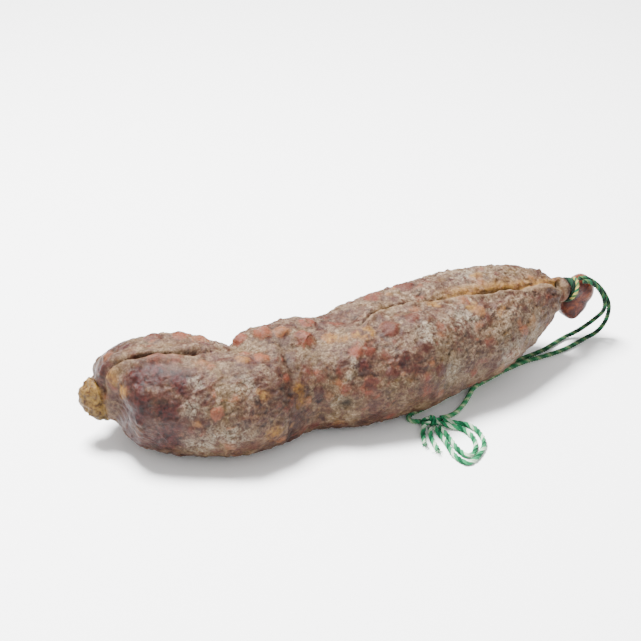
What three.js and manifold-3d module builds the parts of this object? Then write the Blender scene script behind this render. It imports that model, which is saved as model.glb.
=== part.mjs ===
// A dry-cured sausage in a natural casing, lying on a table with the twine that it hung by.
// Millimetres, +Z up. +X runs along the sausage, from its blunt end to the tied neck.
// The origin is on the table, under the middle of the sausage.
import * as THREE from "three";
import { mergeVertices } from "three/addons/utils/BufferGeometryUtils.js";
import Module from "manifold-3d";

const wasm = await Module();
wasm.setup();

// ---- Driving dimensions ----
const neck = { x: 106, y: 6, z: 31.5, radius: 3.6, length: 16, turn: 22, dip: 20 };
const lobesEnd = neck.x - 4;
const nearLobe = { start: -114.5, end: lobesEnd, girth: 22, tall: 1 }; // girth: its widest radius
const farBluntLobe = { start: -116.5, end: -49, girth: 20, tall: 1.15 }; // tall: height to width
const farNeckLobe = { start: -69, end: lobesEnd, girth: 20, tall: 1.15 };
const tie = { turns: 3 };
const twine = { diameter: 1.8, sides: 8, lift: 0.05 }; // lift: just clear of the table
const knot = { x: -86.2, y: -29.6, length: 7.4, width: 4.8, height: 5 };
const gap = 0.3; // between pieces that touch

// The casing end past the neck, and the dried flap at the blunt end: middle and radii.
const bulbTop = { middle: [9.2, 6.4, -5.3], radii: [7.2, 6.8, 7.6] };
const bulbFold = { middle: [5.9, 5.5, -10.5], radii: [7, 6.2, 7.2] };
const flap = { middle: [0.6, 16, 21.5], radii: [8.5, 5.5, 8.5] };

// Each lobe's stations along its length: share of the length, share of the girth, how far
// it lies to the side, and the height of its underside (of its tip, where the girth is 0).
const nearStations = [
  [0, 0, 4.5, 26], [0.006, 0.45, 4.2, 15.5], [0.023, 0.7, 3.2, 9.1], [0.058, 0.86, 1.2, 4.6],
  [0.118, 0.95, -3.6, 1.9], [0.21, 1, -10.6, -0.1], [0.307, 0.97, -9.8, -0.4], [0.372, 0.92, -4.8, 0.2],
  [0.46, 1.01, -8.3, -0.5], [0.584, 1.05, -10, 0.6], [0.654, 0.99, -8.5, 2.5], [0.746, 0.91, -6, 4.7],
  [0.815, 0.82, -4, 7.3], [0.875, 0.68, -1.7, 12], [0.921, 0.55, 0.8, 17], [0.963, 0.39, 3.5, 22],
  [0.986, 0.23, 5, 26.2], [1, 0, neck.y, neck.z],
];
const farBluntStations = [
  [0, 0, 17.5, 27], [0.021, 0.4, 17.5, 17.6], [0.089, 0.68, 17, 10], [0.207, 0.88, 15, 4.8],
  [0.363, 0.97, 11.6, 1.7], [0.593, 1, 7, 0], [0.793, 0.85, 2.6, 2.2], [0.941, 0.5, 1, 10],
  [1, 0, 0, 23],
];
const farNeckStations = [
  [0, 0, 0, 24], [0.023, 0.45, 0, 13.3], [0.094, 0.93, 2, 1.5], [0.211, 1, 4, -1],
  [0.316, 0.95, 4, -0.7], [0.409, 1, 6, 0.5], [0.608, 1, 10.3, 2.4], [0.737, 0.95, 10.8, 4.8],
  [0.813, 0.86, 10.2, 8.3], [0.877, 0.76, 9.5, 11.5], [0.924, 0.6, 8.6, 16.2], [0.959, 0.42, 7.3, 20.8],
  [0.982, 0.25, 6.4, 25.1], [1, 0, neck.y, neck.z],
];

// The twine's routes: x from the neck, y, and the height of its underside.
const strandARoute = [
  [5.5, 6.6, 34.5], [9, 6.6, 34], [13.6, 6.2, 31], [17.5, 6, 26.9], [20.8, 6, 21.8], [22.6, 6, 17.2],
  [22.9, 6.4, 11.8], [21.4, 7.2, 6.2], [18.2, 7.9, 2.2], [13, 7.9, 0.4], [8, 6.4, 0], [3.6, 4.7, 0],
  [-2.6, 2.9, 0], [-9, 1.8, 0], [-16, 1.1, 0], [-23.3, 0.6, 0], [-31, -1.2, 0], [-39, -3.6, 0],
  [-47, -6.6, 0], [-55.8, -10.4, 0], [-60.6, -15.1, 0], [-67, -21.4, 0], [-73.8, -26.2, 0],
  [-78, -27.6, 0.4], [-81.6, -28, 0.8],
];
const strandBRoute = [
  [6.3, 3.7, 34.1], [9, 3.6, 33.6], [13.2, 3.4, 30.4], [16.6, 3.4, 25.6], [18.8, 3.8, 20.4], [19.4, 5.2, 15.2],
  [17.4, 7.6, 10.6], [14.2, 10.2, 6], [10, 12.2, 2.2], [5, 12.6, 0.4], [0.2, 11.2, 0], [-5, 8.9, 0],
  [-9.5, 6.9, 0], [-16.4, 5, 0], [-23, 3.6, 0], [-30.5, 1.7, 0], [-39, -0.9, 0], [-49, -4.2, 0],
  [-59, -7.9, 0], [-69, -11.6, 0], [-78, -14.8, 0], [-86, -17.6, 0], [-91.8, -19.4, 0],
  [-94.1, -21.8, 0], [-93.3, -24.6, 0.1], [-90.6, -26.7, 0.5],
];
const bowOuterRoute = [
  [-81.4, -30.6, 1.3], [-77.2, -33.4, 0.4], [-72.9, -36.1, 0], [-70.9, -40.9, 0], [-71.1, -47.5, 0],
  [-72.9, -53, 0], [-77.1, -57.9, 0], [-81.9, -61.6, 0], [-85.8, -62.6, 0], [-87.7, -59.4, 0],
  [-88.4, -54.2, 0], [-87.8, -48.9, 0], [-87.2, -44.4, 0], [-87, -39.3, 0], [-86.9, -33.6, 0.4],
];
const bowInnerRoute = [
  [-82.6, -32.8, 1], [-79.6, -35.7, 0.3], [-76.4, -38.2, 0], [-74.9, -43, 0], [-75.3, -48.4, 0],
  [-77.3, -53.6, 0], [-80.9, -57.8, 0], [-83.6, -57.6, 0], [-84.8, -53.5, 0], [-85, -48.6, 0],
  [-84.6, -43, 0], [-84.4, -37.4, 0], [-84.4, -33.6, 0.1],
];
const tailARoute = [[-91, -31.4, 1.4], [-92.9, -34, 0.5], [-94.5, -37.8, 0], [-96.4, -42.8, 0]];
const tailBRoute = [[-89.1, -33.4, 0.4], [-90.6, -36.6, 0], [-92, -41.4, 0], [-92.6, -45.6, 0], [-93.3, -49.5, 0]];

// A closed mesh's geometry as a solid that can be joined and cut.
function solidOf(geometry) {
  const bare = geometry.clone();
  bare.deleteAttribute("normal");
  bare.deleteAttribute("uv");
  const merged = mergeVertices(bare, 1e-4);
  return new wasm.Manifold(
    new wasm.Mesh({
      numProp: 3,
      vertProperties: merged.attributes.position.array,
      triVerts: new Uint32Array(merged.index.array),
    }),
  );
}

function geometryOf(solid) {
  const mesh = solid.getMesh();
  const geometry = new THREE.BufferGeometry();
  geometry.setAttribute("position", new THREE.BufferAttribute(new Float32Array(mesh.vertProperties), 3));
  geometry.setIndex(new THREE.BufferAttribute(new Uint32Array(mesh.triVerts), 1));
  return geometry;
}

// ---- The sausage ----

// A lobe is turned about a straight axis, then stretched upward and bent along its spine.
function lobe({ start, end, girth, tall }, stations) {
  const rings = Math.round(2.4 * stations.length);
  const alongX = (share) => start + share * (end - start);
  const profile = new THREE.SplineCurve(
    stations.map(([along, full]) => new THREE.Vector2(full * girth, alongX(along))),
  ).getPoints(rings);
  const spine = new THREE.CatmullRomCurve3(
    stations.map(([along, full, y, under]) => new THREE.Vector3(alongX(along), y, under + full * girth * tall)),
  ).getPoints(rings * 5);
  const geometry = new THREE.LatheGeometry(profile, 32);
  const position = geometry.attributes.position;
  for (let i = 0; i < position.count; i++) {
    const [upward, x, sideways] = [position.getX(i), position.getY(i), position.getZ(i)];
    const later = spine.findIndex((point) => point.x >= x);
    const next = later < 0 ? spine.length - 1 : Math.max(1, later);
    const share = (x - spine[next - 1].x) / (spine[next].x - spine[next - 1].x);
    const middle = spine[next - 1].clone().lerp(spine[next], share);
    position.setXYZ(i, x, middle.y + sideways, middle.z + upward * tall);
  }
  return solidOf(geometry);
}

function blob([x, y, z], radii) {
  const geometry = new THREE.SphereGeometry(1, 20, 14);
  geometry.scale(...radii);
  geometry.translate(x, y, z);
  return solidOf(geometry);
}

// Turns a shape made along +Y so that it lies along the neck's axis.
function onNeck(geometry) {
  geometry.rotateZ(-Math.PI / 2);
  geometry.rotateY(THREE.MathUtils.degToRad(neck.dip));
  geometry.rotateZ(THREE.MathUtils.degToRad(neck.turn));
  geometry.translate(neck.x, neck.y, neck.z);
  return geometry;
}

// A ring about the neck, with its corners rounded off.
function neckRing(inner, outer, width) {
  const round = Math.min(outer - inner, width) / 3;
  const half = width / 2;
  const section = [
    [inner, -half], [outer - round, -half], [outer, round - half],
    [outer, half - round], [outer - round, half], [inner, half], [inner, -half],
  ];
  return onNeck(new THREE.LatheGeometry(section.map(([r, y]) => new THREE.Vector2(r, y)), 32));
}

const tieWidth = tie.turns * twine.diameter;
const neckCore = onNeck(new THREE.CylinderGeometry(neck.radius, neck.radius, neck.length, 28));
const neckGroove = neckRing(neck.radius, neck.radius + twine.diameter + 2 * gap, tieWidth + 2 * gap);
const fromNeck = ([x, y, z]) => [neck.x + x, neck.y + y, neck.z + z];
const table = new THREE.BoxGeometry(400, 400, 50).translate(0, 0, -25);

const sausageSolid = lobe(nearLobe, nearStations)
  .add(lobe(farBluntLobe, farBluntStations))
  .add(lobe(farNeckLobe, farNeckStations))
  .add(blob(fromNeck(bulbTop.middle), bulbTop.radii))
  .add(blob(fromNeck(bulbFold.middle), bulbFold.radii))
  .add(blob([nearLobe.start + flap.middle[0], flap.middle[1], flap.middle[2]], flap.radii))
  .add(solidOf(neckCore))
  .subtract(solidOf(neckGroove))
  .subtract(solidOf(table));

// ---- The twine ----

function cord(route) {
  const radius = twine.diameter / 2;
  const points = route.map(([x, y, under]) => new THREE.Vector3(neck.x + x, y, under + radius + twine.lift));
  const path = new THREE.CatmullRomCurve3(points);
  const section = new THREE.Shape();
  for (let i = 0; i < twine.sides; i++) {
    const angle = (2 * Math.PI * i) / twine.sides;
    section.lineTo(radius * Math.cos(angle), radius * Math.sin(angle));
  }
  const steps = Math.ceil(path.getLength() / (2.5 * twine.diameter));
  return new THREE.ExtrudeGeometry(section, { extrudePath: path, steps });
}

const neckTie = neckRing(neck.radius + gap, neck.radius + gap + twine.diameter, tieWidth);
const bowKnot = new THREE.SphereGeometry(0.5, 16, 10)
  .scale(knot.length, knot.width, knot.height)
  .rotateZ(THREE.MathUtils.degToRad(-12))
  .translate(neck.x + knot.x, knot.y, knot.height / 2);

// ---- The object ----

const casing = new THREE.MeshStandardMaterial({ color: 0x8f6a5c, roughness: 0.75, metalness: 0 });
const cotton = new THREE.MeshStandardMaterial({ color: 0x6fa58a, roughness: 0.9, metalness: 0 });

function piece(name, geometry, material) {
  const mesh = new THREE.Mesh(geometry, material);
  mesh.name = name;
  return mesh;
}

const group = new THREE.Group();
group.add(
  piece("sausage", geometryOf(sausageSolid), casing),
  piece("neck_tie", neckTie, cotton),
  piece("loop_strand_a", cord(strandARoute), cotton),
  piece("loop_strand_b", cord(strandBRoute), cotton),
  piece("bow_knot", bowKnot, cotton),
  piece("bow_loop_outer", cord(bowOuterRoute), cotton),
  piece("bow_loop_inner", cord(bowInnerRoute), cotton),
  piece("tail_a", cord(tailARoute), cotton),
  piece("tail_b", cord(tailBRoute), cotton),
);
export default group;
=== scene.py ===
# %% [markdown]
# # A dry-cured sausage with its twine
# The real thing is coarse meat and fat in a natural casing, hung by a twine until it dried hard.
# As it dried, the casing shrank over the lumps of meat, wrinkled and grew a pale bloom of mould.
# The solid model gives the sizes and places; this file gives each piece its real surface.

# %% Load the model
import math
import random

import bmesh
import bpy
import numpy as np
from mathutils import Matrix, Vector, kdtree, noise


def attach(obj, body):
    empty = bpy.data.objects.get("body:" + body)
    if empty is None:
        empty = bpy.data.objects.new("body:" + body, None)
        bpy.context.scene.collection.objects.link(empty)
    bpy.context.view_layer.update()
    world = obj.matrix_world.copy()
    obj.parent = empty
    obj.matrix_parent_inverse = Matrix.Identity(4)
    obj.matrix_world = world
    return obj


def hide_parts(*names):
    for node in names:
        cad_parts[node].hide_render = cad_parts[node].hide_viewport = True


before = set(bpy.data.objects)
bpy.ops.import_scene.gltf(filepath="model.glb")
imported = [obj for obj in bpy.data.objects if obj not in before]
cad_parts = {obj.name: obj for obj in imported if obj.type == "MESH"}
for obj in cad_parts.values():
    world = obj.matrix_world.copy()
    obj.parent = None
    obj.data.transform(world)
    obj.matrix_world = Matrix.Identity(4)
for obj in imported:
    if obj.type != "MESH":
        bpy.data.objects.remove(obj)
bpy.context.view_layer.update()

# %% [markdown]
# ## Camera
# A long lens keeps the far end nearly as large as the near end. It stands to the left of the
# sausage's middle and 30 degrees up, so that the long fold on top shows from end to end.

# %% Camera
AZIMUTH, ELEVATION, DISTANCE = math.radians(-23), math.radians(30), 0.774
AIM = Vector((-0.0181, 0.0064, 0.0426))

toward_camera = Vector((
    math.sin(AZIMUTH) * math.cos(ELEVATION),
    -math.cos(AZIMUTH) * math.cos(ELEVATION),
    math.sin(ELEVATION),
))
camera_data = bpy.data.cameras.new("camera")
camera_data.lens = 100
camera_data.sensor_width = 36
camera = bpy.data.objects.new("camera", camera_data)
bpy.context.scene.collection.objects.link(camera)
camera.location = AIM + DISTANCE * toward_camera
camera.rotation_euler = toward_camera.to_track_quat("Z", "Y").to_euler()
bpy.context.scene.camera = camera
print("camera at", [round(c, 3) for c in camera.location])

# %% [markdown]
# ## Twine
# Butcher's twine is soft cotton: four yarns twisted together, two green and two pale. Each length
# is made as one skin: a section with four rounded lobes that turns as it moves along the route.
# The routes are the solid model's, in millimetres: x from the neck, y, and the underside's height.

# %% Twine sizes and routes
TWINE = 0.0018  # diameter
TWIST = 0.0058  # length of one whole turn of the yarns
LIFT = 0.00005  # just clear of the table
NECK = Vector((0.106, 0.006, 0.0315))
MM = 0.001

strand_a_route = [
    (5.5, 6.6, 34.5), (9, 6.6, 34), (13.6, 6.2, 31), (17.5, 6, 26.9), (20.8, 6, 21.8), (22.6, 6, 17.2),
    (22.9, 6.4, 11.8), (21.4, 7.2, 6.2), (18.2, 7.9, 2.2), (13, 7.9, 0.4), (8, 6.4, 0), (3.6, 4.7, 0),
    (-2.6, 2.9, 0), (-9, 1.8, 0), (-16, 1.1, 0), (-23.3, 0.6, 0), (-31, -1.2, 0), (-39, -3.6, 0),
    (-47, -6.6, 0), (-55.8, -10.4, 0), (-60.6, -15.1, 0), (-67, -21.4, 0), (-73.8, -26.2, 0),
    (-78, -27.6, 0.4), (-81.6, -28, 0.8),
]
strand_b_route = [
    (6.3, 3.7, 34.1), (9, 3.6, 33.6), (13.2, 3.4, 30.4), (16.6, 3.4, 25.6), (18.8, 3.8, 20.4),
    (19.4, 5.2, 15.2), (17.4, 7.6, 10.6), (14.2, 10.2, 6), (10, 12.2, 2.2), (5, 12.6, 0.4),
    (0.2, 11.2, 0), (-5, 8.9, 0),
    (-9.5, 6.9, 0), (-16.4, 5, 0), (-23, 3.6, 0), (-30.5, 1.7, 0), (-39, -0.9, 0), (-49, -4.2, 0),
    (-59, -7.9, 0), (-69, -11.6, 0), (-78, -14.8, 0), (-86, -17.6, 0), (-91.8, -19.4, 0),
    (-94.1, -21.8, 0), (-93.3, -24.6, 0.1), (-90.6, -26.7, 0.5),
]
bow_outer_route = [
    (-81.4, -30.6, 1.3), (-77.2, -33.4, 0.4), (-72.9, -36.1, 0), (-70.9, -40.9, 0), (-71.1, -47.5, 0),
    (-72.9, -53, 0), (-77.1, -57.9, 0), (-81.9, -61.6, 0), (-85.8, -62.6, 0), (-87.7, -59.4, 0),
    (-88.4, -54.2, 0), (-87.8, -48.9, 0), (-87.2, -44.4, 0), (-87, -39.3, 0), (-86.9, -33.6, 0.4),
]
bow_inner_route = [
    (-82.6, -32.8, 1), (-79.6, -35.7, 0.3), (-76.4, -38.2, 0), (-74.9, -43, 0), (-75.3, -48.4, 0),
    (-77.3, -53.6, 0), (-80.9, -57.8, 0), (-83.6, -57.6, 0), (-84.8, -53.5, 0), (-85, -48.6, 0),
    (-84.6, -43, 0), (-84.4, -37.4, 0), (-84.4, -33.6, 0.1),
]
tail_a_route = [(-91, -31.4, 1.4), (-92.9, -34, 0.5), (-94.5, -37.8, 0), (-96.4, -42.8, 0)]
tail_b_route = [
    (-89.1, -33.4, 0.4), (-90.6, -36.6, 0), (-92, -41.4, 0), (-92.6, -45.6, 0), (-93.3, -49.5, 0),
]


def placed(route, thick=TWINE):
    """The middle line's points in metres; thicker twine lies a little higher on the table."""
    return [Vector((NECK.x + x * MM, y * MM, under * MM + thick / 2 + LIFT)) for x, y, under in route]


print("loop strands start", strand_a_route[0], "and", strand_b_route[0], "mm from the neck")

# %% A smooth line through a list of points
BETWEEN = 24  # fine points between two given ones


def smooth_line(points, step=0.00035):
    """Catmull-Rom with centripetal spacing, resampled evenly."""
    ends = [2 * points[0] - points[1]] + list(points) + [2 * points[-1] - points[-2]]
    fine = []
    for p0, p1, p2, p3 in zip(ends, ends[1:], ends[2:], ends[3:]):
        d0, d1, d2 = ((b - a).length ** 0.5 for a, b in ((p0, p1), (p1, p2), (p2, p3)))
        t1 = ((p1 - p0) / d0 - (p2 - p0) / (d0 + d1) + (p2 - p1) / d1) * d1
        t2 = ((p2 - p1) / d1 - (p3 - p1) / (d1 + d2) + (p3 - p2) / d2) * d1
        for i in range(BETWEEN):
            t = i / BETWEEN
            fine.append(
                (2 * t**3 - 3 * t**2 + 1) * p1 + (t**3 - 2 * t**2 + t) * t1
                + (3 * t**2 - 2 * t**3) * p2 + (t**3 - t**2) * t2
            )
    fine = np.array([list(p) for p in fine + [points[-1]]])
    along = np.concatenate([[0], np.cumsum(np.linalg.norm(np.diff(fine, axis=0), axis=1))])
    count = max(4, round(along[-1] / step))
    even = np.linspace(0, along[-1], count + 1)
    return np.stack([np.interp(even, along, fine[:, k]) for k in range(3)], axis=1)


def line_length(line):
    return float(np.linalg.norm(np.diff(line, axis=0), axis=1).sum())


# %% The twisted skin
YARNS = 4
ROUND = 7 * YARNS  # points round the section
FIBRE = 0.0002  # diameter of the loose fibres at a cut end


def section_radius(angle):
    """The outline of four touching circles, with the grooves between them half filled."""
    off = (angle + math.pi / YARNS) % (2 * math.pi / YARNS) - math.pi / YARNS
    centre, yarn = 0.586, 0.414
    reach = yarn**2 - (centre * math.sin(off)) ** 2
    return max(0.72, centre * math.cos(off) + math.sqrt(max(0, reach)))


def twisted_mesh(name, lines, diameter=TWINE, twist=TWIST, fibres=()):
    """One closed twisted skin along each line, all in one mesh, with a UV that follows the yarns."""
    bm = bmesh.new()
    uv = bm.loops.layers.uv.new("yarn")
    widths = [diameter] * len(lines) + [FIBRE] * len(fibres)
    for which, (line, width) in enumerate(zip([*lines, *fibres], widths)):
        ahead = np.gradient(line, axis=0)
        ahead /= np.linalg.norm(ahead, axis=1)[:, None]
        side = np.cross(ahead[0], [0.3, 0.2, 0.9])
        rings = []
        step = line_length(line) / (len(line) - 1)
        for i, middle in enumerate(line):
            side = side - ahead[i] * side.dot(ahead[i])
            side /= np.linalg.norm(side)
            up = np.cross(ahead[i], side)
            turn = 2 * math.pi * (i * step / twist) + 1.7 * which
            swell = 1 + 0.05 * noise.noise(Vector(middle) * 900 + Vector((0, 0, 7 * which)))
            ring = []
            for j in range(ROUND):
                angle = 2 * math.pi * j / ROUND
                radius = 0.5 * width * section_radius(angle) * swell
                spread = math.cos(angle + turn) * side + math.sin(angle + turn) * up
                spot = middle + radius * spread
                spot[2] = max(spot[2], 0.00001)
                ring.append(bm.verts.new(spot))
            rings.append(ring)
        for i, (ring, following) in enumerate(zip(rings, rings[1:])):
            for j in range(ROUND):
                nxt = (j + 1) % ROUND
                face = bm.faces.new((ring[j], ring[nxt], following[nxt], following[j]))
                face.smooth = True
                corners = ((j, i), (j + 1, i), (j + 1, i + 1), (j, i + 1))
                for loop, (around, far) in zip(face.loops, corners):
                    loop[uv].uv = (around / ROUND, far * step / diameter)
        for ring, middle, flip in ((rings[0], line[0], True), (rings[-1], line[-1], False)):
            centre = bm.verts.new(middle)
            for j in range(ROUND):
                pair = (ring[j], ring[(j + 1) % ROUND])
                face = bm.faces.new((*(pair[::-1] if flip else pair), centre))
                for loop in face.loops:
                    loop[uv].uv = ((j + 0.5) / ROUND, 0)
    mesh = bpy.data.meshes.new(name)
    bm.to_mesh(mesh)
    bm.free()
    piece = bpy.data.objects.new(name, mesh)
    bpy.context.scene.collection.objects.link(piece)
    return piece


# %% Strands and bow
# The strands are twisted tight; the bow and tails have opened up, so they are thicker and turn slower.
STRAND, OPENED = 0.0022, 0.0023
OPEN_TWIST = 0.0105
routes = {
    "loop_strand_a": (strand_a_route, STRAND, TWIST),
    "loop_strand_b": (strand_b_route, STRAND, TWIST),
    "bow_loop_outer": (bow_outer_route, OPENED, OPEN_TWIST),
    "bow_loop_inner": (bow_inner_route, OPENED, OPEN_TWIST),
    "tail_a": (tail_a_route, OPENED, OPEN_TWIST),
    "tail_b": (tail_b_route, OPENED, OPEN_TWIST),
}
lines = {node: smooth_line(placed(route, thick)) for node, (route, thick, twist) in routes.items()}


def loose_fibres(line, count, chance):
    """Short curved fibres that spread from a line's cut end and stay above the table."""
    end = Vector(line[-1])
    ahead = (end - Vector(line[-8])).normalized()
    fibres = []
    for number in range(count):
        stray = Vector([chance.uniform(-1, 1) for axis_name in "xyz"])
        start = end - 0.0004 * ahead + 0.0006 * stray
        middle = start + 0.0009 * ahead + 0.0005 * stray
        tip = middle + 0.0008 * ahead + chance.uniform(0.0006, 0.0014) * stray
        for point in (start, middle, tip):
            point.z = max(point.z, FIBRE)
        fibres.append(smooth_line([start, middle, tip], 0.0002))
    return fibres


chance = random.Random(3)
twine = {}
for node, (route, thick, twist) in routes.items():
    fibres = loose_fibres(lines[node], 16, chance) if node.startswith("tail") else ()
    twine[node] = twisted_mesh(node + "_twine", [lines[node]], thick, twist, fibres)
for node, line in lines.items():
    print(node, "is", round(line_length(line) * 1000, 1), "mm long")

# %% [markdown]
# ## The tie and the knot
# How the real one is tied is hidden, so this is a likely way: three tight turns bind the neck and
# one paler strand crosses them. The knot is one turn round the two strands of the loop, and the
# doubled bow and the two cut tails come out of it.

# %% Neck tie
TURN, DIP = math.radians(22), math.radians(20)
NECK_RADIUS = 0.0036
GAP = 0.0003
axis = Vector((math.cos(DIP) * math.cos(TURN), math.cos(DIP) * math.sin(TURN), -math.sin(DIP)))
across = Vector((-math.sin(TURN), math.cos(TURN), 0))
upright = axis.cross(across)


def about_neck(along, radius, degrees):
    """A point about the neck's axis; 0 degrees is on top, 90 is towards the camera side."""
    a = math.radians(degrees)
    return NECK + along * axis + radius * (math.cos(a) * upright - math.sin(a) * across)


WRAP = NECK_RADIUS + GAP + TWINE / 2
WRAP_STEPS, WRAP_ANGLE = 60, 18  # three turns in all, in degrees a step
HALF_WIDTH = 0.00175  # of the three turns, along the neck
BACK = 0.0020  # the turns sit a little back, towards the lobes
wrap_points = [
    about_neck((-1 + 2 * k / WRAP_STEPS) * HALF_WIDTH - BACK, WRAP, -70 + WRAP_ANGLE * k)
    for k in range(WRAP_STEPS + 1)
]
cross_points = [
    about_neck(-0.0022 - BACK, WRAP + 0.0012, 118), about_neck(-0.0012 - BACK, WRAP + 0.00165, 84),
    about_neck(0.0004 - BACK, WRAP + 0.0017, 46), about_neck(0.0020 - BACK, WRAP + 0.0012, 14),
    about_neck(0.0034 - BACK, WRAP - 0.0004, -8),
]
turns_line = smooth_line(wrap_points)
neck_tie = twisted_mesh("neck_tie_twine", [turns_line, smooth_line(cross_points)])
print("the neck's turns:", round(line_length(turns_line) * 1000, 1), "mm of twine")

# %% Bow knot
KNOT = Vector((NECK.x - 0.0862, -0.0296, 0.0025))
knot_turn = math.radians(-12)


def by_knot(x, y, z):
    """A point beside the knot in millimetres: x along the bow, z from the table."""
    c, s = math.cos(knot_turn), math.sin(knot_turn)
    return Vector((KNOT.x + (c * x - s * y) * MM, KNOT.y + (s * x + c * y) * MM, z * MM))


def knot_line(*places):
    return smooth_line([by_knot(*place) for place in places])


WRAP_KNOT = 1.75  # radius of the knot's one turn, in millimetres
wrap_places = []
for k in range(21):
    a = math.radians(36 * k)
    wrap_places.append((-0.9 + 1.9 * k / 20, WRAP_KNOT * math.cos(a), 2.75 + WRAP_KNOT * math.sin(a)))
knot_lines = [
    knot_line(*wrap_places),
    knot_line(
        (4.6, 1.5, 2), (2.4, 0.6, 2.6), (0, 0.1, 2.9), (-2.3, -0.4, 2.9), (-3.9, -0.9, 2.3), (-4.9, -2, 1.8),
    ),
    knot_line(
        (4.6, -1.4, 1.8), (2.5, -1, 1.9), (0, -0.2, 1.5), (-2, 0.6, 1.5), (-3.8, 1.2, 1.3), (-4.6, 2.4, 1.1),
    ),
    knot_line(
        (-1.6, -1.4, 3.3), (-3.2, -2.2, 3), (-4.6, -1.4, 2.4), (-4.3, 0.5, 2.6), (-2.8, 1.2, 3.2),
        (-1.4, 0.8, 3.6),
    ),
]
bow_knot = twisted_mesh("bow_knot_twine", knot_lines)
print("tie and knot made:", len(neck_tie.data.polygons) + len(bow_knot.data.polygons), "faces")

# %% Say which solids the twine stands for
twine["neck_tie"], twine["bow_knot"] = neck_tie, bow_knot
for node, piece in twine.items():
    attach(piece, "root")
    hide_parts(node)

# %% [markdown]
# ## Material helpers
# Every pattern reads Object coordinates or an attribute stored on the mesh, so it stays on the
# surface from any side. A few short functions keep the node trees readable.

# %% Node helpers
def new_tree(name):
    material = bpy.data.materials.new(name)
    material.use_nodes = True
    nodes = material.node_tree.nodes
    shader = nodes["Principled BSDF"]
    return material, material.node_tree, shader


def add(tree, kind, **settings):
    """A node with its properties set."""
    node = tree.nodes.new(kind)
    for key, value in settings.items():
        setattr(node, key, value)
    return node


def wire(tree, source, target):
    tree.links.new(source, target)


def math_node(tree, operation, a, b=None, clamp=False):
    node = add(tree, "ShaderNodeMath", operation=operation, use_clamp=clamp)
    for slot, value in enumerate((a, b)):
        if value is None:
            continue
        if isinstance(value, (int, float)):
            node.inputs[slot].default_value = value
        else:
            wire(tree, value, node.inputs[slot])
    return node.outputs[0]


def times(tree, a, b, clamp=False):
    return math_node(tree, "MULTIPLY", a, b, clamp)


def mixed(tree, factor, a, b, blend="MIX"):
    """Mixes two colours; each may be a socket or a tuple."""
    node = add(tree, "ShaderNodeMix", data_type="RGBA", blend_type=blend)
    for socket, value in ((node.inputs[0], factor), (node.inputs[6], a), (node.inputs[7], b)):
        if isinstance(value, (int, float)):
            socket.default_value = value
        elif isinstance(value, tuple):
            socket.default_value = (*value, 1)
        else:
            wire(tree, value, socket)
    return node.outputs[2]


def ramp(tree, factor, stops, constant=False):
    """A colour ramp from (place, colour or grey) stops."""
    node = add(tree, "ShaderNodeValToRGB")
    node.color_ramp.interpolation = "CONSTANT" if constant else "LINEAR"
    elements = node.color_ramp.elements
    while len(elements) < len(stops):
        elements.new(0.5)
    for element, (place, colour) in zip(elements, stops):
        element.position = place
        element.color = (colour, colour, colour, 1) if isinstance(colour, (int, float)) else (*colour, 1)
    wire(tree, factor, node.inputs[0])
    return node.outputs[0]


def noise_texture(tree, vector, scale, detail=4.0, rough=0.6, distortion=0.0):
    node = add(tree, "ShaderNodeTexNoise")
    node.inputs["Scale"].default_value = scale
    node.inputs["Detail"].default_value = detail
    node.inputs["Roughness"].default_value = rough
    node.inputs["Distortion"].default_value = distortion
    wire(tree, vector, node.inputs["Vector"])
    return node.outputs[0]


def attribute(tree, name):
    return add(tree, "ShaderNodeAttribute", attribute_name=name).outputs["Fac"]


# %% [markdown]
# ## Twine material
# The UV runs round the section in its first value and along the twine in its second, so four
# hard steps colour the yarns, and noise stretched along them gives the cotton fibres. This is
# one node group, placed in each twine material with its own colours.

# %% Twine colours
NIGHT, GREEN_DARK, GREEN = (0.002, 0.012, 0.006), (0.006, 0.032, 0.015), (0.01, 0.08, 0.036)
EMERALD, LEAF, MINT = (0.001, 0.07, 0.026), (0.02, 0.2, 0.08), (0.1, 0.28, 0.13)
MOSS, STRAW, PALE, WHITE = (0.05, 0.1, 0.035), (0.3, 0.25, 0.07), (0.36, 0.47, 0.27), (0.44, 0.58, 0.42)
print("darkest and palest yarns:", NIGHT, WHITE)


# %% The cotton group
LONGEST = 66  # about the loop strands' length, in diameters


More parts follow.
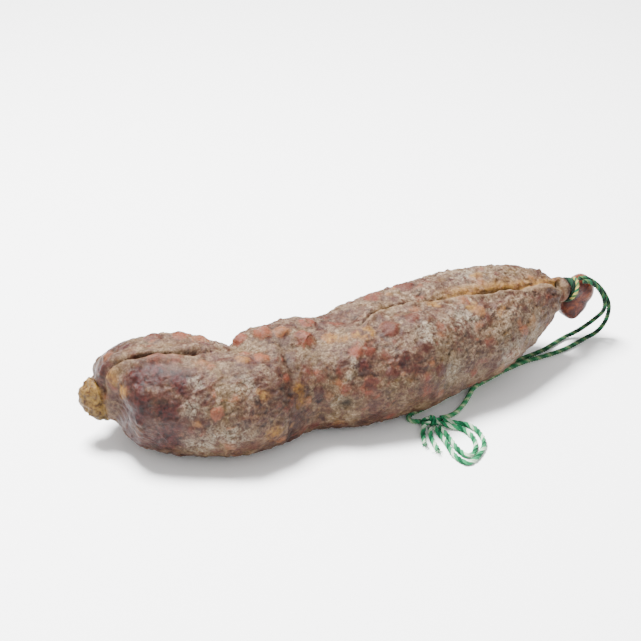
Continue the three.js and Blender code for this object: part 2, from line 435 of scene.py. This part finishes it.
def build_cotton():
    """A node group: four yarn colours at the twine's start, four far along it, and the fibres' height."""
    tree = bpy.data.node_groups.new("Cotton yarns", "ShaderNodeTree")
    for part in ("Start", "Far"):
        for number in range(1, YARNS + 1):
            tree.interface.new_socket(f"{part} {number}", in_out="INPUT", socket_type="NodeSocketColor")
    tree.interface.new_socket("Color", in_out="OUTPUT", socket_type="NodeSocketColor")
    tree.interface.new_socket("Height", in_out="OUTPUT", socket_type="NodeSocketFloat")
    given = add(tree, "NodeGroupInput")
    result = add(tree, "NodeGroupOutput")
    coords = add(tree, "ShaderNodeUVMap", uv_map="yarn").outputs[0]
    split = add(tree, "ShaderNodeSeparateXYZ")
    wire(tree, coords, split.inputs[0])
    place = add(tree, "ShaderNodeTexCoord").outputs["Object"]
    wander = math_node(tree, "SUBTRACT", noise_texture(tree, place, 700, 3, 0.7), 0.5)
    shifted = math_node(tree, "ADD", split.outputs[0], times(tree, wander, 0.16))
    ends = []
    for part in ("Start", "Far"):
        colour = given.outputs[f"{part} 1"]
        for number in range(1, YARNS):
            beyond = math_node(tree, "GREATER_THAN", shifted, number / YARNS)
            colour = mixed(tree, beyond, colour, given.outputs[f"{part} {number + 1}"])
        ends.append(colour)
    distance = math_node(tree, "DIVIDE", split.outputs[1], LONGEST)
    yarn_colour = mixed(tree, ramp(tree, distance, [(0.3, 0), (0.85, 1)]), *ends)
    stretch = add(tree, "ShaderNodeMapping")
    stretch.inputs["Scale"].default_value = (42, 1.6, 1)
    wire(tree, coords, stretch.inputs[0])
    fibres = noise_texture(tree, stretch.outputs[0], 1.4, 5, 0.75)
    shade = ramp(tree, fibres, [(0.3, 0.4), (0.72, 1.3)])
    wire(tree, mixed(tree, 1.0, yarn_colour, shade, "MULTIPLY"), result.inputs["Color"])
    wire(tree, fibres, result.inputs["Height"])
    return tree


cotton_group = build_cotton()
print("cotton group inputs:", [item.name for item in cotton_group.interface.items_tree][:8])


# %% Twine materials
def cotton(name, start, far):
    """Cotton twine with its own four yarn colours; they change from its start to its far part."""
    material, tree, shader = new_tree(name)
    yarns = add(tree, "ShaderNodeGroup", node_tree=cotton_group)
    for part, colours in (("Start", start), ("Far", far)):
        for number, yarn in enumerate(colours, 1):
            yarns.inputs[f"{part} {number}"].default_value = (*yarn, 1)
    wire(tree, yarns.outputs["Color"], shader.inputs["Base Color"])
    shader.inputs["Roughness"].default_value = 0.92
    shader.inputs["Sheen Weight"].default_value = 0.04
    shader.inputs["Specular IOR Level"].default_value = 0.15
    bump = add(tree, "ShaderNodeBump")
    bump.inputs["Strength"].default_value = 0.7
    bump.inputs["Distance"].default_value = 0.00015
    wire(tree, yarns.outputs["Height"], bump.inputs["Height"])
    wire(tree, bump.outputs[0], shader.inputs["Normal"])
    return material


# The loop strands are darker near the tie and paler farther along, and the tie's own turns are darker still.
near_tie_yarns = [NIGHT, GREEN, MOSS, GREEN_DARK]
tie_yarns = [NIGHT, GREEN_DARK, GREEN_DARK, NIGHT]
straw_yarns = [STRAW, MOSS, STRAW, GREEN]
tight = cotton("twine_tight", near_tie_yarns, [LEAF, MINT, PALE, MINT])
bound = cotton("twine_bound", tie_yarns, tie_yarns)
straw = cotton("twine_straw", straw_yarns, straw_yarns)
bow_yarns = [EMERALD, LEAF, WHITE, LEAF]
opened = cotton("twine_opened", bow_yarns, bow_yarns)
for node, piece in twine.items():
    if node != "neck_tie":
        piece.data.materials.append(tight if node.startswith("loop") else opened)
neck_tie.data.materials.append(bound)
neck_tie.data.materials.append(straw)
turns_faces = (len(turns_line) + 1) * ROUND
for polygon in neck_tie.data.polygons[turns_faces:]:
    polygon.material_index = 1
print("the tie's crossing strand:", len(neck_tie.data.polygons) - turns_faces, "faces")

# %% [markdown]
# ## The sausage's skin
# The solid is plain lobes. A copy of it is remeshed into small even faces, relaxed where the
# lobes meet, and then each vertex moves along its normal by a sum of what shapes a real casing:
# slow unevenness, lumps of meat and fat, pleats where it is gathered, and fine wrinkles.

# %% Copy and remesh
VOXEL = 0.00072
sausage_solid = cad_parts["sausage"]
skin = bpy.data.objects.new("sausage_skin", sausage_solid.data.copy())
bpy.context.scene.collection.objects.link(skin)
skin.data.materials.clear()
bpy.ops.object.select_all(action="DESELECT")
skin.select_set(True)
bpy.context.view_layer.objects.active = skin
bpy.ops.object.mode_set(mode="EDIT")
bpy.ops.mesh.select_all(action="SELECT")
bpy.ops.mesh.remove_doubles(threshold=0.00001)
bpy.ops.object.mode_set(mode="OBJECT")
remesh = skin.modifiers.new("remesh", "REMESH")
remesh.mode = "VOXEL"
remesh.voxel_size = VOXEL
bpy.ops.object.modifier_apply(modifier=remesh.name)
relax = skin.modifiers.new("relax", "SMOOTH")
relax.factor = 0.5
relax.iterations = 8
bpy.ops.object.modifier_apply(modifier=relax.name)
mesh = skin.data
print("skin:", len(mesh.vertices), "vertices,", len(mesh.polygons), "faces")

# %% Vertices and normals as arrays
def vertex_arrays(mesh):
    count = len(mesh.vertices)
    place = np.empty(count * 3)
    normal = np.empty(count * 3)
    mesh.vertices.foreach_get("co", place)
    mesh.vertices.foreach_get("normal", normal)
    return place.reshape(-1, 3), normal.reshape(-1, 3)


def step_up(low, high, value):
    t = np.clip((value - low) / (high - low), 0, 1)
    return t * t * (3 - 2 * t)


def noise_at(places, scale, shift=0.0, octaves=1):
    """Fractal noise at each place, from about -1 to 1; scale is in features per metre."""
    offset = Vector((shift, -shift, 2 * shift))
    if octaves == 1:
        return np.array([noise.noise(Vector(p) * scale + offset) for p in places])
    return np.array([noise.fractal(Vector(p) * scale + offset, 0.9, 2.1, octaves) for p in places])


co, nor = vertex_arrays(mesh)
x, y, z = co.T

print("skin height:", round(float(z.max() - z.min()) * 1000, 1), "mm")

# %% [markdown]
# ## Regions, creases and folds
# A region is a number from 0 to 1 at each vertex, so that an effect can fade in and out. A crease
# is a groove with a raised lip, measured from a line laid along the top of the sausage.

# %% Where each region is
centred = co - np.array(NECK)
in_bulb = step_up(0.0030, 0.0046, centred @ np.array(axis))
flap_centre = np.array([-0.1144, 0.0160, 0.0210])
from_flap = np.linalg.norm((co - flap_centre) / [0.0095, 0.0068, 0.0100], axis=1)
behind_lobes = 1 - step_up(-0.1150, -0.1110, x + 0.25 * (y - flap_centre[1]))
in_flap = (1 - step_up(0.9, 1.2, from_flap)) * behind_lobes
body = (1 - in_bulb) * (1 - in_flap)


def hill(middle, radius, stretch=(1, 1, 1)):
    """1 at a place in metres, fading away over the radius; a stretch under 1 reaches further."""
    away = np.linalg.norm((co - np.array(middle)) * stretch, axis=1)
    return np.exp(-((away / radius) ** 2))


def beside(distance, offset, width):
    """1 where the distance from a line is the offset, fading away over the width."""
    return np.exp(-(((distance - offset) / width) ** 2))


print("bulb", int(in_bulb.sum()), "vertices, flap", int(in_flap.sum()))


# %% Distance from a line
def from_line(points, places):
    """Each place's distance from a line through points in millimetres, and how far along it is."""
    points = np.array(points) * MM
    nearest = np.full(len(places), 1.0)
    side = np.zeros(len(places))
    share = np.zeros(len(places))
    for number, (a, b) in enumerate(zip(points, points[1:])):
        along = np.clip((places - a) @ (b - a) / ((b - a) @ (b - a)), 0, 1)
        foot = a + along[:, None] * (b - a)
        away = np.linalg.norm(places - foot, axis=1)
        closer = away < nearest
        nearest = np.where(closer, away, nearest)
        side = np.where(closer, np.sign(places[:, 1] - foot[:, 1]), side)
        share = np.where(closer, (number + along) / (len(points) - 1), share)
    return nearest * side, share


# %% Slow unevenness, the two creases and their lips
long_crease = [
    (-26, -11, 44), (-12, -11, 46), (-5, -7.5, 46), (3, -3.2, 46), (12, -1.8, 46), (27, -2.4, 46),
    (47, -2.6, 46), (60, -2.8, 44), (72, -2.6, 42), (84, -1.4, 39), (94, 1.2, 37), (101, 3.6, 34),
]
end_crease = [
    (-62, 0, 43), (-70, -1.5, 43), (-80, -1.5, 43), (-90, 1, 43), (-100, 5, 42), (-108, 8.8, 39),
    (-112, 10, 35), (-114, 10.6, 30), (-115, 10.6, 24), (-115, 10.4, 18),
]
jitter = np.stack([noise_at(co, 150, s) for s in (61, 67, 71)], axis=1) * 0.0009
right, right_share = from_line(long_crease, co + jitter)
left, left_share = from_line(end_crease, co + jitter)
strength = step_up(0, 0.3, right_share) * (1 - step_up(0.985, 1, right_share)) * body
strength_left = step_up(0, 0.25, left_share) * body
slow = 0.0011 * noise_at(co, 38, 3) + 0.0011 * noise_at(co, 85, 9) + 0.0005 * noise_at(co, 170, 15)
crease = strength * (
    0.0018 * beside(right, -0.0025, 0.0016)
    - 0.0034 * beside(right, 0, 0.0012)
    + 0.0005 * beside(right, 0.0034, 0.0018)
)
crease += strength_left * (
    0.0024 * beside(left, -0.0032, 0.0022)
    - 0.0014 * beside(left, 0, 0.0011)
    + 0.0022 * beside(left, 0.0032, 0.0028)
)
print("creases:", round(-crease.min() * 1000, 1), "mm deep, lips", round(crease.max() * 1000, 1), "mm high")

# %% The pinched waist and a pale fold beside it
pinch_line = [(-43, 2, 46), (-41, -8, 43), (-43, -17, 39), (-46, -26, 31), (-45, -29, 18), (-44, -27, 6)]
pinch, pinch_share = from_line(pinch_line, co + 2 * jitter)
pinch_depth = np.interp(pinch_share, [0, 0.15, 0.4, 0.6, 0.8, 1], [0.2, 1, 0.8, 0.5, 0.7, 1.1])
pinches = -0.0021 * pinch_depth * beside(pinch, 0, 0.0030) * body
fold_line = [(-10, -19, 42), (-13, -22, 39), (-17, -25, 36), (-21, -27, 29)]
crease += 0.0009 * beside(from_line(fold_line, co + jitter)[0], 0, 0.0014)
print("waist pinched by", round(-pinches.min() * 1000, 1), "mm")

# %% [markdown]
# ## Lumps of meat and fat
# The filling is chopped coarse, so the casing has dried down over rounded lumps. Most are
# scattered by chance, a set distance apart; the largest, and the stains, have places of their own.

# %% Scatter the lumps
rng = np.random.default_rng(7)
SPACING = 0.0036
STEPS = (-1, 0, 1)
chosen = []
grid = {}
for index in rng.permutation(len(co))[:12000]:
    cell = tuple(np.floor(co[index] / SPACING).astype(int))
    near_cells = [(cell[0] + i, cell[1] + j, cell[2] + k) for i in STEPS for j in STEPS for k in STEPS]
    others = [grid[near] for near in near_cells if near in grid]
    if all(np.linalg.norm(co[index] - other) > SPACING for other in others):
        grid[cell] = co[index]
        chosen.append(co[index])
lumps = kdtree.KDTree(len(chosen))
for number, point in enumerate(chosen):
    lumps.insert(Vector(point), number)
lumps.balance()
lump_radius = 0.0016 + 0.0026 * rng.uniform(0, 1, len(chosen)) ** 1.5
lump_height = rng.uniform(0.1, 1.0, len(chosen)) ** 1.5
lump_hue = rng.beta(1.2, 2.2, len(chosen))
lump_colour_shown = rng.uniform(0, 1, len(chosen)) < 0.38
print(len(chosen), "lumps")

# %% How much of a lump lies at each vertex
lump = np.zeros(len(co))
hue = np.zeros(len(co))
swell = np.zeros(len(co))
warp = np.stack([noise_at(co, 260, s, 4) for s in (11, 23, 37)], axis=1) * 0.0019
for index, point in enumerate(co + warp):
    for _, number, distance in lumps.find_n(Vector(point), 3):
        t = distance / lump_radius[number]
        if t >= 1:
            continue
        swell[index] = max(swell[index], (1 - t * t) ** 1.3 * lump_height[number])
        mask = (1 - t) ** 0.7
        if lump_colour_shown[number] and mask > lump[index]:
            lump[index] = mask
            hue[index] = lump_hue[number]
print("lumps colour", round(100 * float((lump > 0.3).mean())), "% of the skin")

# %% Lumps with places of their own
# Each is x, y, z and radius in millimetres; then height in millimetres and hue (0 plum, 1 fat).
big_lumps = [
    (-31, -6, 42, 5.4, 2.5, 0.45), (-56, 5, 42, 4.2, 1.6, 0.5), (-62, -13, 43, 3.6, 1.1, 0.85),
    (-53, -13, 43, 4, 1.0, 0.6), (-39, 0, 45, 4.2, 1.5, 0.7), (-47, 2, 45, 4.6, 1.5, 0.55),
    (-25, 4, 46, 4.4, 1.3, 0.5), (-14, 0, 46, 4.4, 1.2, 0.4), (-21, -8, 44, 3.4, 1.0, 0.8),
    (5, -16, 45, 4.6, 1.2, 0.3), (-8, -22, 40, 3.2, 0.8, 0.35), (-10, -30, 29, 3.4, 0.7, 0.25),
    (-1, -30, 32, 3.2, 0.7, 0.2), (-32, -24, 27, 3.2, 0.6, 0.12), (-79, -28, 30, 3.6, 0.7, 0.55),
    (-95, -1, 43, 4.2, 0.9, 0.6), (-80, 13, 46, 4.6, 1.0, 0.55), (-92, 15, 45, 4.4, 0.8, 0.3),
    (-72, 9, 44, 4.2, 1.1, 0.6), (16, -14, 46, 4, 0.7, 0.3), (49, -14, 43, 3.6, 0.6, 0.8),
    (17, -26, 40, 4.2, 0.6, 0.15), (70, -18, 31, 3.4, 0.6, 0.6), (22, -31, 29, 3.4, 0.5, 0.2),
    (-110, -3, 33, 4.2, 0.9, 0.97), (-111, 17, 40, 3.6, 0.8, 0.7), (8, 10, 47, 5, 0.9, 0.4),
    (24, 12, 48, 5, 0.7, 0.3),
]
for px, py, pz, radius, rise, place_in_range in big_lumps:
    t = np.linalg.norm(co + 0.6 * warp - np.array([px, py, pz]) * MM, axis=1) / (radius * MM)
    near = t < 1
    swell[near] = np.maximum(swell[near], (1 - t[near] ** 2) ** 1.2 * rise * 1.6)
    mask = np.clip(2.1 * np.clip(1 - t, 0, 1) ** 0.7, 0, 1.3)
    hue = np.where(mask > lump * 0.8, place_in_range, hue)
    lump = np.maximum(lump, mask)
print(len(big_lumps), "large lumps")


# %% Stains
def stain(places, softness=0.5):
    """How much of a stain lies at each vertex; each is x, y, z and radius in millimetres."""
    total = np.zeros(len(co))
    for px, py, pz, radius in places:
        t = np.linalg.norm(co + 1.3 * warp - np.array([px, py, pz]) * MM, axis=1) / (radius * MM)
        total = np.maximum(total, 1 - step_up(1 - softness, 1 + softness * 0.4, t))
    return total


purple = stain([
    (-104, -5, 40, 11), (-107, -12, 30, 14), (-97, -19, 30, 11), (-98, -18, 18, 13), (-100, -12, 16, 14),
    (-108, -8, 14, 12), (-113, 14, 34, 9), (-106, 20, 40, 9), (-99, -7, 42, 11), (-90, -13, 41, 9),
    (-112, -8, 26, 10), (-12, -26, 36, 4), (6, -28, 36, 5), (-30, -25, 24, 4),
], 0.8)
mould = stain([
    (-88, -23, 32, 5), (-84, -18, 40, 3.5), (-80, -29, 20, 5), (-74, -30, 20, 6), (-86, -24, 14, 8),
    (-70, -31, 20, 5), (-24, -27, 22, 3.4), (-15, -24, 37, 3), (-19, -27, 31, 2.5), (62, -23, 24, 9),
    (78, -16, 26, 7), (40, -16, 43, 8), (20, -22, 43, 6), (55, 9, 48, 8), (-66, -24, 38, 6), (30, -32, 26, 7),
], 0.9)
ochre = stain([
    (-20, -10, 43, 3.6), (-15, -13, 43, 3), (-9, -15, 44, 3), (-3, -14, 45, 3.4), (-42, -25, 31, 3.6),
    (-41, -27, 26, 3.4), (-112, -2, 34, 4.6), (-112, 6, 36, 3.5), (58, 7, 48, 3.4), (47, -11, 44, 3.2),
    (60, -14, 41, 3), (30, -6, 46, 3), (-58, -26, 33, 4), (-56, -30, 18, 5), (-34, -29, 16, 4),
    (-116, 24, 26, 5),
], 0.6)
pit = hill([-0.0205, -0.028, 0.0215], 0.0021, [0.8, 1, 1.1])

# The pale bloom is thickest along the right half and on top, and thin at both ends.
frost = 0.8 * step_up(-0.01, 0.05, x) * step_up(0.008, 0.03, z)
frost += 0.5 * step_up(0.2, 0.9, nor[:, 2]) * step_up(0.034, 0.044, z)
frost = np.clip(frost * (0.75 + 0.9 * noise_at(co, 75, 91)), 0, 1) * (1 - 0.95 * purple)
frost *= 0.4 + 0.6 * step_up(-0.1, -0.06, x) - 0.5 * step_up(0.06, 0.1, x) * step_up(0.036, 0.042, z)
print("purple on", round(100 * float((purple > 0.5).mean())), "% of the skin")

# %% [markdown]
# ## Move the skin
# Gathered casing makes small pleats about the neck and the blunt end. All the heights are added up
# and each vertex moves once along its normal. Then the neck is drawn in to meet the tie.

# %% Pleats, wrinkles and grain
near_neck = step_up(0.05, 0.1, x) * body
neck_angle = np.arctan2(centred @ np.array(upright), centred @ np.array(across))
pleat_noise = noise_at(co, 130, 2)
pleats = np.sin(neck_angle * 13 + 2.4 * pleat_noise) * near_neck**2 * 0.0004
tip = np.array([-0.114, 0.009, 0.025])
near_tip = (1 - step_up(0.006, 0.026, np.linalg.norm((co - tip) * [1, 0.8, 0.8], axis=1))) * body
tip_angle = np.arctan2(z - tip[2], y - tip[1])
tip_pleats = np.sin(tip_angle * 15 + 3 * pleat_noise) * near_tip * 0.0002
ridges = 1 - 2 * np.abs(noise_at(co * [0.6, 1, 1], 420, 14, 4))
texture = 0.00032 * ridges + 0.00016 * noise_at(co, 800, 31, 2)
bulb_folds = (0.0004 - 0.0010 * beside(noise_at(co, 62, 44), 0, 0.12)) * in_bulb
flap_creases = 0.0016 * (1 - 2.4 * np.abs(noise_at(co, 130, 52)))
flap_wrinkles = 0.0009 * (1 - 2 * np.abs(noise_at(co, 330, 58, 2)))
flap_folds = (flap_creases + flap_wrinkles) * in_flap
print("wrinkles:", round(float(np.ptp(texture)) * 1000, 2), "mm from low to high")

# %% Add up the heights
near_end = hill([-0.116, -0.001, 0.024], 0.0105, [1, 1, 0.7])
far_end = hill([-0.117, 0.019, 0.032], 0.0090, [1, 1, 0.8])
calm = 1 - 0.9 * in_bulb - 0.75 * in_flap
move = slow * calm + crease + pinches
move += 0.00095 * swell * body + pleats + tip_pleats
move += (0.0016 * far_end - 0.0040 * near_end) * body + 0.0016 * in_flap * step_up(0, 0.6, -nor[:, 0])
move += texture * calm * (1 - 0.35 * lump) * (1 - 0.3 * purple) * (1 - 0.6 * near_end)
move += bulb_folds + flap_folds - 0.0014 * pit
# The bulb hangs fuller below.
move += 0.0014 * in_bulb * step_up(0.1, 0.8, -0.7 * (nor[:, 0] + nor[:, 2]))

# The flap is a leaf: its lower side is cut away on a slant.
slant = -0.1232 + 0.55 * np.maximum(0, 0.0245 - z)
co[:, 0] += in_flap * np.maximum(0, slant - co[:, 0])
low = step_up(0.0005, 0.006, z)
move *= np.where(move > 0, 0.25 + 0.75 * low, 1)
co = co + nor * move[:, None]
print("skin moved", round(move.min() * 1000, 1), "to", round(move.max() * 1000, 1), "mm")

# %% Draw the neck in
near_tie = 1 - step_up(0.0062, 0.0125, np.linalg.norm(centred, axis=1))
co -= BACK * near_tie[:, None] * np.array(axis)
along_neck = (co - np.array(NECK)) @ np.array(axis)
outward = co - np.array(NECK) - along_neck[:, None] * np.array(axis)
reach = np.maximum(np.linalg.norm(outward, axis=1), 1e-6)

# The widest cone takes in what stands out past it, and the narrowest one fills in what is under it.
widest = 0.0041 + 1.35 * np.maximum(0, -0.0046 - along_neck)
drawn = step_up(-0.0125, -0.0075, along_neck) * (1 - step_up(-0.0034, -0.0026, along_neck))
narrower = 1 - drawn * (1 - step_up(0.0135, 0.0185, reach)) * np.clip(1 - widest / reach, 0, 1)
narrowest = 0.0041 + 0.6 * np.maximum(0, -0.0046 - along_neck)
filled = step_up(-0.0105, -0.0078, along_neck) * (1 - step_up(-0.0052, -0.0043, along_neck))
wider = 1 + filled * (reach < 0.008) * np.clip(narrowest / reach - 1, 0, 2)
co += outward * (narrower * wider - 1)[:, None]
co[:, 2] = np.maximum(co[:, 2], 0.00005)
mesh.vertices.foreach_set("co", co.ravel())
print("neck drawn in at", int((narrower < 1).sum()), "vertices")

# %% Smooth the creases
in_crease = (np.abs(left) < 0.005) | (np.abs(right) < 0.003) | (np.abs(pinch) < 0.004)
soften = skin.vertex_groups.new(name="creases")
soften.add(np.flatnonzero(in_crease).tolist(), 1.0, "REPLACE")
relax = skin.modifiers.new("relax creases", "SMOOTH")
relax.factor = 0.5
relax.iterations = 4
relax.vertex_group = soften.name
bpy.ops.object.modifier_apply(modifier=relax.name)
for polygon in mesh.polygons:
    polygon.use_smooth = True
print("smoothed", int(in_crease.sum()), "vertices")


# %% Store what the material needs
def store(name, values):
    layer = mesh.attributes.new(name, "FLOAT", "POINT")
    layer.data.foreach_set("value", np.clip(values, 0, 1).astype(np.float32))


band = beside(right, 0.0026, 0.0030) * step_up(0.026, 0.05, x) * strength
thin_band = beside(right, 0.0003, 0.0016) * step_up(0.1, 0.3, right_share) * strength
thin_band *= step_up(-0.2, 0.2, noise_at(co, 70, 77))
# Painted highlight: a pale strip along the lip of each crease, where the light catches it.
painted_lip_highlight = beside(right, -0.0016, 0.0012) * strength
painted_lip_highlight += 0.4 * beside(left, -0.0024, 0.0012) * strength_left * (1 - purple)
# Painted shade: darker about the tie, in the pinched waist, on the flap's lower side and down in the creases.
# Painted light: paler on the creases' lips and on the lumps' tops.
near_turns = beside(np.linalg.norm(centred + 0.004 * np.array(axis), axis=1), 0, 0.0055)
painted_shade = 0.5 + 0.42 * near_turns * (1 - in_bulb)
painted_shade += 0.16 * beside(pinch, 0, 0.011) * (1 - step_up(0.038, 0.044, z))
painted_shade += 0.6 * in_flap * (1 - step_up(0.012, 0.022, z))
painted_shade -= (crease + 0.45 * pinches + 0.0012 * (np.minimum(swell, 1) - 0.3)) / 0.004
stored = {
    "lump": lump, "hue": hue, "fat": np.maximum(np.maximum(band, 0.8 * thin_band), ochre), "painted_lip_highlight": painted_lip_highlight,
    "purple": purple, "mould": mould, "pit": pit, "frost": frost, "bulb": in_bulb, "flap": in_flap,
    "rise": 0.5 + texture / 0.0011, "painted_shade": painted_shade,
}
for name, values in stored.items():
    store(name, values)
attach(skin, "root")
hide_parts("sausage")
print("stored:", ", ".join(stored))

# %% [markdown]
# ## Casing material
# Under the thin casing the meat is mauve brown, with red and orange lumps. Pale mould lies in
# the hollows and has been rubbed off the lumps. Both show as fine speckle, never a flat colour.

# %% Tones and noise patterns
DEPTH = 0.184  # how dark the casing is against the tones below, in the studio's strong light
WARM = (1.0, 0.89, 0.69)


def tone(red, green, blue):
    """A colour as a painter would name it, 0 to 255, made ready for a shader."""
    return tuple(DEPTH * w * (c / 255) ** 2.2 for w, c in zip(WARM, (red, green, blue)))


casing, tree, shader = new_tree("dried_casing")
place = add(tree, "ShaderNodeTexCoord").outputs["Object"]
coarse = noise_texture(tree, place, 60, 3, 0.55)
mottle = noise_texture(tree, place, 190, 6, 0.62, 0.7)
medium = noise_texture(tree, place, 420, 5, 0.65, 0.5)
fine = noise_texture(tree, place, 1150, 4, 0.7, 0.3)
speck = noise_texture(tree, place, 2600, 3, 0.7)
marks = {name: attribute(tree, name) for name in stored}
print(len(marks), "marks read from the skin")

# %% Meat, lumps and dark patches
meat = ramp(tree, mottle, [
    (0.36, tone(66, 32, 28)), (0.44, tone(116, 64, 52)), (0.5, tone(144, 108, 82)),
    (0.55, tone(134, 84, 78)), (0.62, tone(80, 38, 38)),
])
meat = mixed(tree, ramp(tree, coarse, [(0.46, 0), (0.64, 0.8)]), meat, tone(150, 120, 66))
lump_colour = ramp(tree, marks["hue"], [
    (0, tone(82, 38, 38)), (0.25, tone(118, 56, 48)), (0.5, tone(188, 98, 78)),
    (0.8, tone(208, 146, 98)), (1, tone(232, 186, 140)),
])
lump_mask = times(tree, marks["lump"], ramp(tree, medium, [(0.36, 0.4), (0.56, 1.4)]), clamp=True)
under = mixed(tree, lump_mask, meat, lump_colour)
purple_mask = times(tree, marks["purple"], ramp(tree, mottle, [(0.36, 0.8), (0.52, 1)]))
purple_tone = ramp(tree, medium, [(0.4, tone(52, 16, 25)), (0.6, tone(118, 44, 50))])
under = mixed(tree, purple_mask, under, purple_tone)
patch = ramp(tree, noise_texture(tree, place, 150, 3, 0.6, 0.5), [(0.5, 0), (0.6, 1)])
patch = times(tree, patch, math_node(tree, "SUBTRACT", 1, lump_mask))
under = mixed(tree, times(tree, patch, 0.7), under, tone(104, 46, 38))
print("palest meat tone", [round(c, 3) for c in tone(144, 108, 82)])

# %% Pale bloom and mould
bloom_colour = ramp(tree, fine, [(0.38, tone(178, 150, 134)), (0.6, tone(240, 220, 208))])
cloud = ramp(tree, noise_texture(tree, place, 300, 3, 0.55, 0.9), [(0.4, 0), (0.58, 1)])
web = math_node(tree, "ADD", times(tree, cloud, 0.6), ramp(tree, medium, [(0.42, 0.05), (0.6, 0.45)]))
bloom = times(tree, web, ramp(tree, fine, [(0.38, 0.78), (0.6, 1)]))
coverage = ramp(tree, coarse, [(0.38, 0.3), (0.62, 0.8)])
bloom = times(tree, bloom, math_node(tree, "ADD", coverage, times(tree, marks["frost"], 0.6)))
bloom = times(tree, bloom, ramp(tree, marks["rise"], [(0.25, 0.4), (0.7, 1.1)]))
bare = math_node(tree, "MAXIMUM", times(tree, lump_mask, 0.8), times(tree, purple_mask, 0.92))
bare = math_node(tree, "MAXIMUM", bare, times(tree, patch, 0.65))
bloom = times(tree, bloom, math_node(tree, "SUBTRACT", 1, bare), clamp=True)
colour = mixed(tree, bloom, under, bloom_colour)
white = times(tree, marks["mould"], ramp(tree, medium, [(0.42, 0.05), (0.56, 1)]))
white = times(tree, white, ramp(tree, fine, [(0.4, 0.25), (0.54, 0.9)]), clamp=True)
colour = mixed(tree, white, colour, tone(250, 242, 236))
print("bloom tone", [round(c, 3) for c in tone(240, 220, 208)])

# %% Fat, painted highlight on the lips, bulb and flap
fat = times(tree, marks["fat"], ramp(tree, medium, [(0.36, 0.5), (0.55, 1)]))
fat_colour = ramp(tree, medium, [(0.36, tone(178, 112, 44)), (0.62, tone(232, 180, 98))])
bulb_colour = ramp(tree, mottle, [
    (0.36, tone(80, 26, 18)), (0.5, tone(144, 58, 37)), (0.64, tone(212, 120, 72)),
])
flap_colour = ramp(tree, medium, [(0.36, tone(112, 68, 26)), (0.62, tone(238, 196, 118))])
colour = mixed(tree, times(tree, fat, 0.9), colour, fat_colour)
# The pale painted highlight on the creases' lips.
colour = mixed(tree, times(tree, marks["painted_lip_highlight"], 0.7), colour, tone(226, 196, 166))
# Painted shade: the pit is coloured near black.
colour = mixed(tree, times(tree, marks["pit"], 0.9), colour, tone(46, 46, 52))
colour = mixed(tree, marks["bulb"], colour, bulb_colour)
colour = mixed(tree, marks["flap"], colour, flap_colour)
print("fat tone", [round(c, 3) for c in tone(232, 180, 98)])

# %% Grain, painted shade, sheen and relief
grain_and_painted_shade = {
    "fine": ramp(tree, fine, [(0.34, 0.8), (0.64, 1.2)]),
    "speck": ramp(tree, speck, [(0.3, 0.88), (0.7, 1.12)]),
    # Painted shade: the casing is darker in the wrinkles' valleys and paler on their ridges, and the next
    # line darkens it by the painted shade stored on the skin.
    "rise": ramp(tree, marks["rise"], [(0.1, 0.5), (0.8, 1.15)]),
    "painted_shade": ramp(tree, marks["painted_shade"], [(0.5, 1), (1, 0.4)]),
}
for shade in grain_and_painted_shade.values():
    colour = mixed(tree, 1.0, colour, shade, "MULTIPLY")
wire(tree, colour, shader.inputs["Base Color"])
rough = mixed(tree, bloom, (0.45, 0.45, 0.45), (0.85, 0.85, 0.85))
rough = mixed(tree, purple_mask, rough, (0.36, 0.36, 0.36))
rough = mixed(tree, marks["bulb"], rough, (0.36, 0.36, 0.36))
wire(tree, rough, shader.inputs["Roughness"])
shader.inputs["Specular IOR Level"].default_value = 0.16
height = math_node(tree, "ADD", times(tree, fine, 0.65), times(tree, speck, 0.35))
bump = add(tree, "ShaderNodeBump")
bump.inputs["Strength"].default_value = 0.7
bump.inputs["Distance"].default_value = 0.0006
wire(tree, height, bump.inputs["Height"])
wire(tree, bump.outputs[0], shader.inputs["Normal"])
skin.data.materials.append(casing)
print("casing colour darkened by", ", ".join(grain_and_painted_shade))

# %% [markdown]
# ## Table and light
# A plain pale table and two soft lamps: the key stands high and behind, so that it rakes the
# lumps on top, and a weak one fills the near side. A white surround keeps the shadows light.

# %% Table
bpy.ops.object.select_all(action="DESELECT")
bpy.ops.mesh.primitive_plane_add(size=6, location=(0, 0, 0))
table = bpy.context.active_object
table.name = "table"
pale, tree, shader = new_tree("pale_table")
shader.inputs["Base Color"].default_value = (0.9, 0.9, 0.9, 1)
shader.inputs["Roughness"].default_value = 0.7
table.data.materials.append(pale)
print("table", [round(side, 1) for side in table.dimensions[:2]], "metres")


# %% Light
def lamp(name, place, size, power):
    """A square lamp that faces the middle of the table."""
    data = bpy.data.lights.new(name, "AREA")
    data.size = size
    data.energy = power
    lamp_object = bpy.data.objects.new(name, data)
    bpy.context.scene.collection.objects.link(lamp_object)
    lamp_object.location = place
    lamp_object.rotation_euler = Vector(place).to_track_quat("Z", "Y").to_euler()


lamp("key", (-0.16, 0.22, 0.94), 0.35, 63)
lamp("fill", (-0.2, -1, 0.6), 0.9, 4)
world = bpy.data.worlds.new("studio")
world.use_nodes = True
world.node_tree.nodes["Background"].inputs[0].default_value = (1, 1, 1, 1)
world.node_tree.nodes["Background"].inputs[1].default_value = 1.05
bpy.context.scene.world = world
